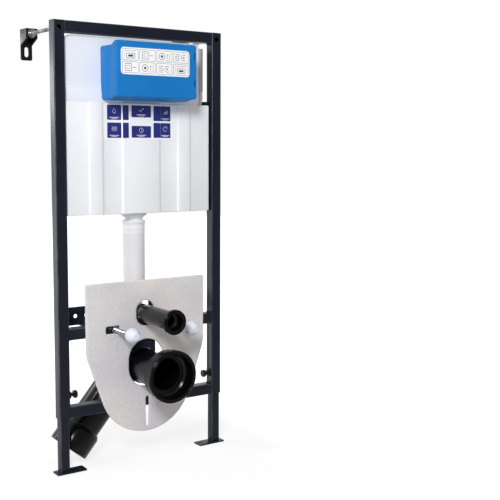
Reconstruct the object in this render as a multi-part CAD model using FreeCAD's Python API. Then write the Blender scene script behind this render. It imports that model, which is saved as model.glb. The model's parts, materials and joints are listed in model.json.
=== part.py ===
import FreeCAD, Part
import math
import os

V = FreeCAD.Vector
X = V(1, 0, 0)
Y = V(0, 1, 0)
Z = V(0, 0, 1)
AHEAD = V(0, -1, 0)
DOWN = V(0, 0, -1)

# Main sizes, in mm: X to the right seen from the front, Y back to the wall, Z up from the floor
FRAME_W = 500
FRAME_H = 1170
TUBE = 30
TUBE_WALL = 2
TUBE_ROUND = 3
WALL_Y = 215
GAP = 0.3
EDGE = 1

# Post caps and the holes near the top of the posts
CAP_T = 3
FRONT_HOLE_R = 7
ROD_BELOW_TOP = 19

# Legs, foot plates and lock bolts
LEG_SHOWN = 147
LEG = 25
LEG_WALL = 2
LEG_INSIDE = 160
FOOT_W = 83
FOOT_D = 35
FOOT_T = 4
FOOT_AHEAD = 5
FOOT_OUT = 10
FOOT_ROUND = 3
FOOT_HOLE_R = 5.5
FOOT_HOLE_IN = 45
BOLT_ABOVE_RAIL = 30
BOLT_R = 5
BOLT_AF = 19
BOLT_HEAD_T = 9
BOLT_NUT_T = 6
BOLT_STAND = 15

# Bowl rail, and the perforated support plate behind it
BOWL_RAIL_Z = 354
SUPPORT_BEHIND = 62
SUPPORT_T = 3
SUPPORT_W = 360
SUPPORT_H = 50
SUPPORT_UP = 20
SUPPORT_PITCH = 32
SUPPORT_HOLE_R = 5.5
NOTCH_W = 130
NOTCH_H = 34
ARM_IN = 40
ARM_W = 25
ARM_T = 4

# Wall rods, nuts and brackets
ROD_R = 5
ROD_START = 14
ROD_SHORT = 10
NUT_AF = 17
NUT_T = 8
WASHER_R = 11
WASHER_T = 2
BRACKET_W = 32
BRACKET_T = 4
BRACKET_DEEP = 42
BRACKET_OVER_ROD = 13
BRACKET_FRONT_H = 26
BRACKET_CHEEK_H = 44
BRACKET_H = 81
BRACKET_SLOT_W = 11
BRACKET_SLOT_H = 26
BRACKET_SLOT_UP = 9
BRACKET_ROUND = 5

# Cistern: upper tank and lower jacket
TANK_FRONT = 14
TANK_BACK = 106
TANK_UNDER_RAIL = 3
TANK_LEFT_GAP = 0.5
TANK_RIGHT_GAP = 17
TANK_ROUND = 6
TANK_CORNER_W = 24
TANK_CORNER_H = 12
TANK_BAND_H = 27
TANK_BAND_T = 4
TANK_STEP_H = 17
TANK_STEP_T = 1.5
TANK_RECESS = 18
JACKET_GAP = 4
JACKET_FRONT = 9
JACKET_BACK = 110
JACKET_TOP_DOWN = 200
JACKET_H = 293
JACKET_ROUND = 4
BAND_T = 4
BAND_CENTRE = 57
BAND_IN = 113
BAND_OUT = 153
GROOVE_W = 12
GROOVE_T = 5
GROOVE_X = 80
TAB_H = 10
TAB_D = 14

# Service box and its cover
BOX_HALF_W = 115
BOX_UNDER_TANK = 23
BOX_H = 139
BOX_ROUND = 7
BOX_FRONT = -81
COVER_HALF_W = 119
COVER_RISE = 8
COVER_LIFT = 6
COVER_T = 44
COVER_RIM = 7
COVER_ROUND = 6
COVER_EDGE_R = 3.5
CLIP_W = 4
CLIP_H = 17
CLIP_IN = 9
CLIP_LOW = 32
CLIP_HIGH = 103
CLIP_DEEP = 5

# Water hose and inlet fitting in the corner recess of the tank
HOSE_R = 8.4
FITTING_AF = 14
FITTING_NUT_T = 11
FITTING_TAPER_H = 25
FITTING_TIP_R = 5

# Flush pipe, elbow and connector
FLUSH_Y = 55
FLUSH_R = 30
FLUSH_LEAST = 64
FLUSH_Z = 405
FLUSH_BEND = 40
FLUSH_WAY_R = 19
FLUSH_WALL = 3
FLUSH_COLLAR_H = 14
FLUSH_RIB = 0.8
FLUSH_REACH = 166
FLUSH_PLUG_R = 20.5
FLUSH_TUBE_R = 25
FLUSH_RING_R = 29
FLUSH_SOCKET_R = 33
FLUSH_BORE_R = 23
FLUSH_BORE_L = 27
FLUSH_SEAL_T = 5
FLUSH_LIP = 4
FLUSH_FACE_W = 3
SEAL_STEP = 1.5
NECK_R = 36
NECK_WAIST_R = 24.5
NECK_BEAD_R = 32
NECK_H = 32

# Waste elbow, outlet pipe and bowl connector
WASTE_Z = 259
WASTE_R = 47
WASTE_WALL = 4
WASTE_PLANE = 90
WASTE_BEND = 56
WASTE_COLLAR_R = 49
JOIN_LIP = 3
JOIN_SHOULDER_L = 10
CONNECTOR_R = 46
CONNECTOR_WALL = 3
CONNECTOR_IN = 28
CONNECTOR_REACH = 156
CUP_R = 70
CUP_WALL = 10
CUP_RIM = 4
CUP_EDGE = 2
CUP_BORE_L = 34
CUP_GROOVE_W = 3
CUP_GROOVE_T = 2
LUG_W = 15
LUG_L = 10
LUG_H = 3
WASTE_SEAL_T = 6
WASTE_LIP = 7
OUTLET_X = -189
OUTLET_Z = 38
OUTLET_SOCKET_R = 56
OUTLET_SOCKET_L = 58
OUTLET_BORE_R = 52
CLAMP_T = 3
CLAMP_Y = 6
HANGER_LEFT = 64
HANGER_RIGHT = 38
HANGER_DOWN = 33

# Sound pad
PAD_X = 5
PAD_HALF_W = 181
PAD_TOP = 498
PAD_T = 8
PAD_BOTTOM = 78
PAD_ARC_R = 142
PAD_SLOPE = 19.3
PAD_SHOULDER_R = 80
PAD_CORNER_R = 5
PAD_WASTE_X = -3
PAD_WASTE_R = 53
PAD_WASTE_TALL = 24
PAD_WASTE_UP = 11
PAD_FLUSH_R = 27.5
PAD_FLUSH_TALL = 14
PAD_FLUSH_UP = 2
PAD_SLOT_W = 40
PAD_SLOT_H = 20
PAD_SLOT_OUT = 8.5
PAD_SLOT_R = 3
PAD_SLIT_W = 10
PAD_SLIT_H = 85
PAD_SLIT_UP = 12

# Bowl studs, nuts and caps
STUD_SPACING = 180
STUD_UP = 16
STUD_R = 6
STUD_REACH = 110
STUD_BEHIND = 10
STUD_NUT_AF = 19
CAP_START = 83
CAP_L = 42
CAP_R = 20
CAP_NECK_R = 10
CAP_TIP_R = 8

HALF = FRAME_W / 2
POST_X = HALF - TUBE / 2
POST_IN = HALF - TUBE
MID_Y = TUBE / 2
RAIL_LOW = FRAME_H - TUBE
POST_TOP = FRAME_H - CAP_T
ROD_Z = FRAME_H - ROD_BELOW_TOP
BOLT_Z = LEG_SHOWN + TUBE + BOLT_ABOVE_RAIL
BRACKET_TOP = ROD_Z + BRACKET_OVER_ROD
BRACKET_LOW = BRACKET_TOP - BRACKET_H
BRACKET_FRONT = WALL_Y - BRACKET_DEEP
TANK_TOP = RAIL_LOW - TANK_UNDER_RAIL
TANK_LEFT = -POST_IN + TANK_LEFT_GAP
TANK_RIGHT = POST_IN - TANK_RIGHT_GAP
JACKET_TOP = FRAME_H - JACKET_TOP_DOWN
JACKET_BOTTOM = JACKET_TOP - JACKET_H
JACKET_HALF_W = POST_IN - JACKET_GAP
BOX_TOP = TANK_TOP - BOX_UNDER_TANK
BOX_BOTTOM = BOX_TOP - BOX_H
COVER_BACK = BOX_FRONT + COVER_T
STUD_X = STUD_SPACING / 2
STUD_Z = BOWL_RAIL_Z + STUD_UP
FLUSH_BOTTOM = FLUSH_Z + FLUSH_LEAST
SUPPORT_Y = TUBE + SUPPORT_BEHIND
ORIGIN = V(-POST_X, WALL_Y, BRACKET_LOW + BRACKET_H / 2)


def box(x0, x1, y0, y1, z0, z1):
    return Part.makeBox(x1 - x0, y1 - y0, z1 - z0, V(x0, y0, z0))


def along(edge, axis):
    """True for a straight edge that runs along the axis."""
    step = edge.Vertexes[-1].Point - edge.Vertexes[0].Point
    return step.Length > 1e-6 and abs(step.dot(axis)) > 0.999 * step.Length


def rounded(shape, axis, radius):
    return shape.makeFillet(radius, [edge for edge in shape.Edges if along(edge, axis)])


def cyl(base, axis, radius, length):
    return Part.makeCylinder(radius, length, base, axis)


def ring(base, axis, outer, inner, length):
    return cyl(base, axis, outer, length).cut(cyl(base, axis, inner, length))


def side_of(axis):
    side = axis.cross(Z)
    return V(1, 0, 0) if side.Length < 1e-6 else side.normalize()


def hexagon(base, axis, across, length, hole):
    """Hexagonal bar of the given width across its flats, with a round hole unless hole is 0."""
    side = side_of(axis)
    up = axis.cross(side)
    points = []
    for i in range(7):
        turn = math.radians(60 * i)
        points.append(base + (side * math.cos(turn) + up * math.sin(turn)) * (across / math.sqrt(3)))
    bar = Part.Face(Part.makePolygon(points)).extrude(axis * length)
    return bar.cut(cyl(base, axis, hole, length)) if hole else bar


def turned(profile, base, axis):
    """Solid of revolution: profile lists (radius, distance along axis) round the line from base."""
    side = side_of(axis)
    points = [base + side * r + axis * d for r, d in profile]
    return Part.Face(Part.makePolygon(points + points[:1])).revolve(base, axis, 360)


def bend(start, heading, towards, bend_r, outer, inner):
    """Quarter bend of a pipe that leaves start along heading and ends along towards."""
    centre = start + towards * bend_r
    axis = heading.cross(towards)
    solids = []
    for radius in (outer, inner):
        face = Part.Face(Part.Wire(Part.Circle(start, heading, radius).toShape()))
        solids.append(face.revolve(centre, axis, 90))
    return solids[0].cut(solids[1])


def square_tube(x0, x1, y0, y1, z0, z1, axis, wall):
    outer = rounded(box(x0, x1, y0, y1, z0, z1), axis, TUBE_ROUND)
    thin = [0 if abs(axis.dot(a)) > 0.5 else wall for a in (X, Y, Z)]
    inner = box(x0 + thin[0], x1 - thin[0], y0 + thin[1], y1 - thin[1], z0 + thin[2], z1 - thin[2])
    return outer.cut(inner)


def oval(x, z, radius, tall, y0, y1):
    """Upright slot with round ends, cut along Y; tall is the distance between the end centres."""
    slot = box(x - radius, x + radius, y0, y1, z - tall / 2, z + tall / 2)
    for end in (-1, 1):
        slot = slot.fuse(cyl(V(x, y0, z + end * tall / 2), Y, radius, y1 - y0))
    return slot


def joined(shapes):
    return shapes[0].fuse(shapes[1:]).removeSplitter()


nodes = {}


def both_sides(name, shape):
    """The left piece as built and its mirror image on the right."""
    nodes["left_" + name] = shape
    nodes["right_" + name] = shape.mirror(V(0, 0, 0), X)


# Posts: lock bolt hole in the inner side, rod hole behind and a wider hole in front
post = square_tube(-HALF, -POST_IN, 0, TUBE, LEG_SHOWN, POST_TOP, Z, TUBE_WALL)
post = post.cut(cyl(V(-POST_X, MID_Y, BOLT_Z), X, BOLT_R + GAP, TUBE))
post = post.cut(cyl(V(-POST_X, MID_Y, ROD_Z), Y, ROD_R + GAP, TUBE))
post = post.cut(cyl(V(-POST_X, MID_Y, ROD_Z), AHEAD, FRONT_HOLE_R, TUBE))
both_sides("post", post)
cap = rounded(box(-HALF, -POST_IN, 0, TUBE, POST_TOP, FRAME_H), Z, TUBE_ROUND)
both_sides("post_cap", cap)

# Rails between the posts
for name, low in (("top_rail", RAIL_LOW), ("bowl_rail", BOWL_RAIL_Z), ("lower_rail", LEG_SHOWN)):
    nodes[name] = square_tube(-POST_IN, POST_IN, 0, TUBE, low, low + TUBE, X, TUBE_WALL)
for side in (-1, 1):
    hole = cyl(V(side * STUD_X, -TUBE, STUD_Z), Y, STUD_R + GAP, 3 * TUBE)
    nodes["bowl_rail"] = nodes["bowl_rail"].cut(hole)

# Perforated support plate on two arms behind the bowl rail, with a notch for the flush pipe
support_half = SUPPORT_W / 2
support_low = BOWL_RAIL_Z + SUPPORT_UP
support_top = support_low + SUPPORT_H
support = box(-support_half, support_half, SUPPORT_Y, SUPPORT_Y + SUPPORT_T, support_low, support_top)
notch_low = support_top - NOTCH_H
notch = box(-NOTCH_W / 2, NOTCH_W / 2, SUPPORT_Y, SUPPORT_Y + SUPPORT_T, notch_low, support_top)
support = support.cut(notch)
count = int((support_half - 2 * SUPPORT_HOLE_R) / SUPPORT_PITCH)
for i in range(-count, count + 1):
    if abs(i) * SUPPORT_PITCH > NOTCH_W / 2 + 2 * SUPPORT_HOLE_R:
        place = V(i * SUPPORT_PITCH, SUPPORT_Y - SUPPORT_T, support_low + SUPPORT_H / 2)
        support = support.cut(cyl(place, Y, SUPPORT_HOLE_R, 3 * SUPPORT_T))
arms = []
for side in (-1, 1):
    arm_x = side * (support_half - ARM_IN)
    arms.append(box(arm_x - ARM_W / 2, arm_x + ARM_W / 2, TUBE, SUPPORT_Y, support_low, support_low + ARM_T))
nodes["support_plate"] = joined([support] + arms)

# Sliding legs with foot plates
leg_x = -POST_X - LEG / 2
leg_y = MID_Y - LEG / 2
leg_top = LEG_SHOWN + LEG_INSIDE
both_sides("leg", square_tube(leg_x, leg_x + LEG, leg_y, leg_y + LEG, FOOT_T, leg_top, Z, LEG_WALL))
foot_x = -HALF - FOOT_OUT
foot = rounded(box(foot_x, foot_x + FOOT_W, -FOOT_AHEAD, FOOT_D - FOOT_AHEAD, 0, FOOT_T), Z, FOOT_ROUND)
both_sides("foot_plate", foot.cut(cyl(V(-POST_X + FOOT_HOLE_IN, MID_Y, 0), Z, FOOT_HOLE_R, FOOT_T)))

# Lock bolts through the inner side of each post
bolt = cyl(V(-POST_IN - TUBE_WALL, MID_Y, BOLT_Z), X, BOLT_R, TUBE_WALL + BOLT_STAND)
bolt_nut = hexagon(V(-POST_IN, MID_Y, BOLT_Z), X, BOLT_AF, BOLT_NUT_T, 0)
bolt_head = hexagon(V(-POST_IN + BOLT_STAND, MID_Y, BOLT_Z), X, BOLT_AF, BOLT_HEAD_T, 0)
both_sides("lock_bolt", joined([bolt, bolt_nut, bolt_head]))

# Wall rods with their nuts and washers
both_sides("wall_rod", cyl(V(-POST_X, ROD_START, ROD_Z), Y, ROD_R, WALL_Y - ROD_SHORT - ROD_START))
pieces = []
bracket_inside = BRACKET_FRONT + BRACKET_T
for y in (TUBE - TUBE_WALL - NUT_T, TUBE, BRACKET_FRONT - WASHER_T - NUT_T, bracket_inside):
    pieces.append(hexagon(V(-POST_X, y, ROD_Z), Y, NUT_AF, NUT_T, ROD_R + GAP))
pieces.append(ring(V(-POST_X, BRACKET_FRONT - WASHER_T, ROD_Z), Y, WASHER_R, ROD_R + GAP, WASHER_T))
nuts = Part.makeCompound([pieces[0], pieces[1], pieces[2].fuse(pieces[4]).removeSplitter(), pieces[3]])
both_sides("rod_nuts", nuts)

# Wall brackets: slotted tongue on the wall, front plate on the rod, top plate and two cheeks
bx0 = -POST_X - BRACKET_W / 2
bx1 = bx0 + BRACKET_W
slot_tall = BRACKET_SLOT_H - BRACKET_SLOT_W
slot_z = BRACKET_LOW + BRACKET_SLOT_UP + BRACKET_SLOT_H / 2
tongue = box(bx0, bx1, WALL_Y - BRACKET_T, WALL_Y, BRACKET_LOW, BRACKET_TOP)
tongue = tongue.makeFillet(BRACKET_ROUND, [
    edge for edge in tongue.Edges if along(edge, Y) and abs(edge.Vertexes[0].Point.z - BRACKET_LOW) < GAP])
slot = oval(-POST_X, slot_z, BRACKET_SLOT_W / 2, slot_tall, WALL_Y - BRACKET_T, WALL_Y)
tongue = tongue.cut(slot)
front_low = BRACKET_TOP - BRACKET_FRONT_H
plate = box(bx0, bx1, BRACKET_FRONT, bracket_inside, front_low, BRACKET_TOP)
plate = plate.cut(cyl(V(-POST_X, BRACKET_FRONT, ROD_Z), Y, ROD_R + GAP, BRACKET_T))
lid = box(bx0, bx1, BRACKET_FRONT, WALL_Y, BRACKET_TOP - BRACKET_T, BRACKET_TOP)
cheeks = []
for x in (bx0, bx1 - BRACKET_T):
    corners = [
        V(x, BRACKET_FRONT, BRACKET_TOP),
        V(x, WALL_Y, BRACKET_TOP),
        V(x, WALL_Y, BRACKET_TOP - BRACKET_CHEEK_H),
        V(x, BRACKET_FRONT, front_low),
    ]
    cheeks.append(Part.Face(Part.makePolygon(corners + corners[:1])).extrude(X * BRACKET_T))
both_sides("wall_bracket", joined([tongue, plate, lid] + cheeks))

# Upper tank: cut top corners, a lower band, and an upright recess in the right front corner
corners = [
    V(TANK_LEFT, TANK_FRONT, JACKET_TOP),
    V(TANK_LEFT, TANK_FRONT, TANK_TOP - TANK_CORNER_H),
    V(TANK_LEFT + TANK_CORNER_W, TANK_FRONT, TANK_TOP),
    V(TANK_RIGHT - TANK_CORNER_W, TANK_FRONT, TANK_TOP),
    V(TANK_RIGHT, TANK_FRONT, TANK_TOP - TANK_CORNER_H),
    V(TANK_RIGHT, TANK_FRONT, JACKET_TOP),
]
tank = Part.Face(Part.makePolygon(corners + corners[:1])).extrude(Y * (TANK_BACK - TANK_FRONT))
tank = rounded(tank, Z, TANK_ROUND)
recess_x = TANK_RIGHT - TANK_RECESS
band_top = JACKET_TOP + TANK_BAND_H
steps = []
for proud, top in ((TANK_BAND_T, band_top), (TANK_STEP_T, band_top + TANK_STEP_H)):
    x0 = TANK_LEFT + TANK_ROUND
    steps.append(box(x0, recess_x - TANK_ROUND, TANK_FRONT - proud, TANK_FRONT, JACKET_TOP, top))
tank = joined([tank] + steps)
tank = tank.cut(box(recess_x, TANK_RIGHT, TANK_FRONT, TANK_FRONT + TANK_RECESS, JACKET_TOP, TANK_TOP))
nodes["cistern_tank"] = tank

# Lower jacket: raised bands in front, upright grooves behind
jacket = box(-JACKET_HALF_W, JACKET_HALF_W, JACKET_FRONT, JACKET_BACK, JACKET_BOTTOM, JACKET_TOP)
jacket = rounded(jacket, Z, JACKET_ROUND)
bands = []
for x0, x1 in ((-BAND_OUT, -BAND_IN), (-BAND_CENTRE, BAND_CENTRE), (BAND_IN, BAND_OUT)):
    bands.append(box(x0, x1, JACKET_FRONT - BAND_T, JACKET_FRONT, JACKET_BOTTOM, JACKET_TOP))
jacket = joined([jacket] + bands)
for x in (-2 * GROOVE_X, -GROOVE_X, 0, GROOVE_X, 2 * GROOVE_X):
    x0 = x - GROOVE_W / 2
    groove = box(x0, x0 + GROOVE_W, JACKET_BACK - GROOVE_T, JACKET_BACK, JACKET_BOTTOM, JACKET_TOP)
    jacket = jacket.cut(groove)
nodes["cistern_jacket"] = jacket
tab_low = JACKET_TOP + GAP
nodes["tank_clip"] = box(TANK_RIGHT, POST_IN, TUBE - TAB_D, TUBE, tab_low, tab_low + TAB_H)

# Service box: body seated on the stepped front of the tank
service = rounded(box(-BOX_HALF_W, BOX_HALF_W, COVER_BACK, TANK_BACK, BOX_BOTTOM, BOX_TOP), Y, BOX_ROUND)
tank_front = box(-FRAME_W, FRAME_W, TANK_FRONT, TANK_BACK, JACKET_BOTTOM, FRAME_H)
nodes["service_box"] = service.cut([tank_front] + steps)


def cover_outline(share, y):
    """Outline of the cover at depth y: the body's at share 0, growing to the rim's at share 1."""
    half = BOX_HALF_W + (COVER_HALF_W - BOX_HALF_W) * share
    low = BOX_BOTTOM + COVER_LIFT * share
    corner = BOX_ROUND + (COVER_ROUND - BOX_ROUND) * share
    slab = rounded(box(-half, half, y, y + GAP, low, BOX_TOP + COVER_RISE * share), Y, corner)
    return min(slab.Faces, key=lambda face: face.CenterOfMass.y).OuterWire


# Cover: an S-shaped flare out to a rim with a round front edge, and two clip slots on the right
rim_back = BOX_FRONT + COVER_RIM
sections = []
for i in range(7):
    part_way = i / 6
    share = part_way * part_way * (3 - 2 * part_way)
    sections.append(cover_outline(share, COVER_BACK + (rim_back - COVER_BACK) * part_way))
flare = Part.makeLoft(sections, True, False)
rim = Part.Face(sections[-1]).extrude(AHEAD * COVER_RIM)
front = min(rim.Faces, key=lambda face: face.CenterOfMass.y)
cover = joined([rim.makeFillet(COVER_EDGE_R, front.Edges), flare])
clip_x = COVER_HALF_W - CLIP_IN
for up in (CLIP_LOW, CLIP_HIGH):
    clip_z = BOX_BOTTOM + COVER_LIFT + up
    slot = box(clip_x, clip_x + CLIP_W, BOX_FRONT, BOX_FRONT + CLIP_DEEP, clip_z, clip_z + CLIP_H)
    cover = cover.cut(slot)
nodes["service_box_cover"] = cover

# Water hose in the recess of the tank, with its nut and tapered tail
hose_x = recess_x + HOSE_R + GAP
hose_y = TANK_FRONT + TANK_RECESS - HOSE_R - GAP
nut_low = JACKET_TOP + GAP + FITTING_TAPER_H
hose_low = nut_low + FITTING_NUT_T
nodes["water_hose"] = cyl(V(hose_x, hose_y, hose_low), Z, HOSE_R, TANK_TOP - TANK_CORNER_H - hose_low)
tail = turned([
    (0, 0), (HOSE_R, 0), (FITTING_TIP_R, FITTING_TAPER_H), (0, FITTING_TAPER_H),
], V(hose_x, hose_y, nut_low), DOWN)
fitting_nut = hexagon(V(hose_x, hose_y, nut_low), Z, FITTING_AF, FITTING_NUT_T, 0)
nodes["inlet_fitting"] = joined([tail, fitting_nut])

# Flush way: neck under the cistern, pipe, elbow, connector and seal
neck = [
    (0, 0), (NECK_R, 0), (NECK_R, NECK_H * 0.2), (NECK_WAIST_R, NECK_H * 0.5), (NECK_WAIST_R, NECK_H * 0.6),
    (NECK_BEAD_R, NECK_H * 0.72), (NECK_BEAD_R, NECK_H * 0.85), (FLUSH_R, NECK_H), (0, NECK_H),
]
nodes["flush_neck"] = turned(neck, V(0, FLUSH_Y, JACKET_BOTTOM), DOWN)
flush_top = JACKET_BOTTOM - NECK_H
flush = [cyl(V(0, FLUSH_Y, FLUSH_BOTTOM), Z, FLUSH_R, flush_top - FLUSH_BOTTOM)]
for i in (1, 2):
    flush.append(cyl(V(0, FLUSH_Y, flush_top - i * 0.4 * NECK_H), Z, FLUSH_R + FLUSH_RIB, FLUSH_WALL))
nodes["flush_pipe"] = joined(flush)
way_in = FLUSH_WAY_R - FLUSH_WALL
elbow_top = FLUSH_Z + FLUSH_BEND
elbow_y = FLUSH_Y - FLUSH_BEND
collar_low = FLUSH_BOTTOM - FLUSH_COLLAR_H
elbow = [
    bend(V(0, FLUSH_Y, elbow_top), DOWN, AHEAD, FLUSH_BEND, FLUSH_WAY_R, way_in),
    ring(V(0, FLUSH_Y, elbow_top), Z, FLUSH_WAY_R, way_in, collar_low - elbow_top),
    ring(V(0, FLUSH_Y, collar_low), Z, FLUSH_R + FLUSH_WALL, way_in, FLUSH_COLLAR_H),
]
nodes["flush_elbow"] = joined(elbow)
reach = elbow_y + FLUSH_REACH
behind = elbow_y + PAD_T
seat = reach - FLUSH_BORE_L
root = seat - FLUSH_SEAL_T - GAP
pocket_r = FLUSH_BORE_R - SEAL_STEP
ring_at = reach - 6 * FLUSH_LIP
socket_at = reach - 3 * FLUSH_LIP
face_r = FLUSH_BORE_R + FLUSH_FACE_W
rim_r = FLUSH_SOCKET_R - FLUSH_FACE_W
connector = [
    (way_in, 0), (FLUSH_PLUG_R, 0), (FLUSH_PLUG_R, behind), (FLUSH_TUBE_R, behind),
    (FLUSH_TUBE_R, ring_at), (FLUSH_RING_R, ring_at + FLUSH_LIP),
    (FLUSH_RING_R, socket_at), (FLUSH_SOCKET_R, socket_at + EDGE),
    (FLUSH_SOCKET_R, reach - EDGE), (FLUSH_SOCKET_R - EDGE, reach), (rim_r, reach),
    (rim_r, reach - FLUSH_FACE_W), (face_r, reach - FLUSH_FACE_W), (face_r, reach), (FLUSH_BORE_R, reach),
    (FLUSH_BORE_R, seat), (pocket_r, seat), (pocket_r, root), (way_in, root),
]
nodes["flush_connector"] = turned(connector, V(0, elbow_y, FLUSH_Z), AHEAD)
nodes["flush_seal"] = ring(V(0, elbow_y - root, FLUSH_Z), AHEAD, pocket_r - GAP, way_in, FLUSH_SEAL_T)

# Waste way: elbow behind the pad with a long slanting leg, and the outlet socket on its end
slant = V(OUTLET_X, 0, OUTLET_Z - WASTE_Z)
outlet_l = OUTLET_SOCKET_L + JOIN_SHOULDER_L
join = slant.Length - outlet_l
slant.normalize()
waste_in = WASTE_R - WASTE_WALL
bend_y = WASTE_PLANE - WASTE_BEND
waste = [
    bend(V(0, bend_y, WASTE_Z), Y, slant, WASTE_BEND, WASTE_R, waste_in),
    ring(V(0, 0, WASTE_Z), Y, WASTE_COLLAR_R, CONNECTOR_R + GAP, CONNECTOR_IN),
    ring(V(0, CONNECTOR_IN, WASTE_Z), Y, WASTE_COLLAR_R, waste_in, bend_y - CONNECTOR_IN),
    ring(V(0, WASTE_PLANE, WASTE_Z) + slant * WASTE_BEND, slant, WASTE_R, waste_in, join - WASTE_BEND),
]
nodes["waste_elbow"] = joined(waste)
outlet = [
    (waste_in, 0), (WASTE_R + JOIN_LIP, 0), (OUTLET_SOCKET_R, JOIN_SHOULDER_L),
    (OUTLET_SOCKET_R, outlet_l - EDGE), (OUTLET_SOCKET_R - EDGE, outlet_l), (OUTLET_BORE_R, outlet_l),
    (OUTLET_BORE_R, JOIN_SHOULDER_L), (waste_in, JOIN_SHOULDER_L),
]
nodes["outlet_pipe"] = turned(outlet, V(0, WASTE_PLANE, WASTE_Z) + slant * join, slant)

# Bowl connector that plugs into the elbow, with its cup and seal
start = CONNECTOR_IN - EDGE
reach = start + CONNECTOR_REACH
seat = reach - CUP_BORE_L
root = seat - WASTE_SEAL_T - GAP
tube_in = CONNECTOR_R - CONNECTOR_WALL
cup_r = CUP_R - CUP_RIM
cup_in = CUP_R - CUP_WALL
pocket_r = cup_in - SEAL_STEP
groove_in = cup_in + CUP_GROOVE_W
groove_out = groove_in + CUP_GROOVE_W
connector = [
    (tube_in, 0), (CONNECTOR_R, 0), (CONNECTOR_R, root - 2 * CUP_RIM), (cup_r, root),
    (cup_r, reach - 3 * CUP_RIM), (CUP_R, reach - 2.5 * CUP_RIM), (CUP_R, reach - CUP_EDGE),
    (CUP_R - CUP_EDGE, reach), (groove_out, reach), (groove_out, reach - CUP_GROOVE_T),
    (groove_in, reach - CUP_GROOVE_T), (groove_in, reach), (cup_in, reach), (cup_in, seat), (pocket_r, seat),
    (pocket_r, root), (tube_in, root),
]
bowl_connector = turned(connector, V(0, start, WASTE_Z), AHEAD)
lugs = []
for angle in (-24, 14):
    lug_y = start - reach + 3 * CUP_RIM
    lug = box(-LUG_W / 2, LUG_W / 2, lug_y, lug_y + LUG_L, WASTE_Z + cup_r - LUG_H, WASTE_Z + cup_r + LUG_H)
    lugs.append(lug.rotate(V(0, 0, WASTE_Z), Y, angle))
nodes["waste_connector"] = joined([bowl_connector] + lugs)
seal_in = cup_in - WASTE_LIP
nodes["waste_seal"] = ring(V(0, start - root, WASTE_Z), AHEAD, pocket_r - GAP, seal_in, WASTE_SEAL_T)

# Hooked plate that hangs the elbow from the bowl rail: over its top and down its left side
plate_low = WASTE_Z - HANGER_DOWN
plate = box(-HANGER_LEFT, HANGER_RIGHT, CLAMP_Y, CLAMP_Y + CLAMP_T, plate_low, BOWL_RAIL_Z)
plate = plate.cut(box(0, HANGER_RIGHT, CLAMP_Y, CLAMP_Y + CLAMP_T, plate_low, WASTE_Z))
nodes["waste_clamp"] = plate.cut(cyl(V(0, CLAMP_Y, WASTE_Z), Y, WASTE_COLLAR_R + GAP, CLAMP_T))

# Sound pad: straight sides, sloping shoulders and a round bottom
slope = math.radians(PAD_SLOPE)
arc_z = PAD_BOTTOM + PAD_ARC_R
touch_x = PAD_ARC_R * math.cos(slope)
touch_z = arc_z - PAD_ARC_R * math.sin(slope)
shoulder_z = touch_z + (PAD_HALF_W - touch_x) / math.tan(slope)
lip = [V(PAD_X + x, 0, z) for x, z in (
    (touch_x, touch_z), (PAD_HALF_W, shoulder_z), (PAD_HALF_W, PAD_TOP),
    (-PAD_HALF_W, PAD_TOP), (-PAD_HALF_W, shoulder_z), (-touch_x, touch_z))]
curve = Part.Arc(lip[-1], V(PAD_X, 0, PAD_BOTTOM), lip[0]).toShape()
pad = Part.Face(Part.Wire(Part.makePolygon(lip).Edges + [curve])).extrude(AHEAD * PAD_T)
for height, radius in ((shoulder_z, PAD_SHOULDER_R), (PAD_TOP, PAD_CORNER_R)):
    pad = pad.makeFillet(radius, [
        edge for edge in pad.Edges if along(edge, Y) and abs(edge.Vertexes[0].Point.z - height) < GAP])
pad = pad.cut(oval(PAD_X + PAD_WASTE_X, WASTE_Z + PAD_WASTE_UP, PAD_WASTE_R, PAD_WASTE_TALL, -PAD_T, 0))
pad = pad.cut(oval(0, FLUSH_Z + PAD_FLUSH_UP, PAD_FLUSH_R, PAD_FLUSH_TALL, -PAD_T, 0))
for side in (-1, 1):
    x0 = side * (STUD_X + PAD_SLOT_OUT) - PAD_SLOT_W / 2
    slot = box(x0, x0 + PAD_SLOT_W, -PAD_T, 0, STUD_Z - PAD_SLOT_H / 2, STUD_Z + PAD_SLOT_H / 2)
    pad = pad.cut(rounded(slot, Y, PAD_SLOT_R))
slit_x = PAD_X - PAD_SLIT_W / 2
slit_z = PAD_BOTTOM + PAD_SLIT_UP
nodes["sound_pad"] = pad.cut(box(slit_x, slit_x + PAD_SLIT_W, -PAD_T, 0, slit_z, slit_z + PAD_SLIT_H))

# Bowl studs with their nuts and caps
both_sides("stud", cyl(V(-STUD_X, -STUD_REACH, STUD_Z), Y, STUD_R, STUD_REACH + TUBE + STUD_BEHIND))
stud_nuts = [hexagon(V(-STUD_X, y, STUD_Z), Y, STUD_NUT_AF, NUT_T, STUD_R + GAP) for y in (-NUT_T, TUBE)]
both_sides("stud_nuts", Part.makeCompound(stud_nuts))
hollow_r = STUD_R + GAP
hollow_l = STUD_REACH - CAP_START + EDGE
cap = turned([
    (hollow_r, 0), (CAP_NECK_R, 0), (CAP_R * 0.85, CAP_L * 0.16), (CAP_R * 0.97, CAP_L * 0.3),
    (CAP_R, CAP_L * 0.4), (CAP_R * 0.96, CAP_L * 0.54), (CAP_R * 0.8, CAP_L * 0.74),
    (CAP_R * 0.6, CAP_L * 0.91), (CAP_R * 0.52, CAP_L * 0.97), (CAP_TIP_R, CAP_L), (0, CAP_L), (0, hollow_l),
    (hollow_r, hollow_l),
], V(-STUD_X, -CAP_START, STUD_Z), AHEAD)
both_sides("stud_cap", cap)

os.makedirs("parts", exist_ok=True)
for name, shape in nodes.items():
    shape.translate(-ORIGIN)
    shape.exportStep("parts/" + name + ".step")
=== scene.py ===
import json
import math
import random

import bmesh
import bpy
from mathutils import Matrix, Vector, noise


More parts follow.
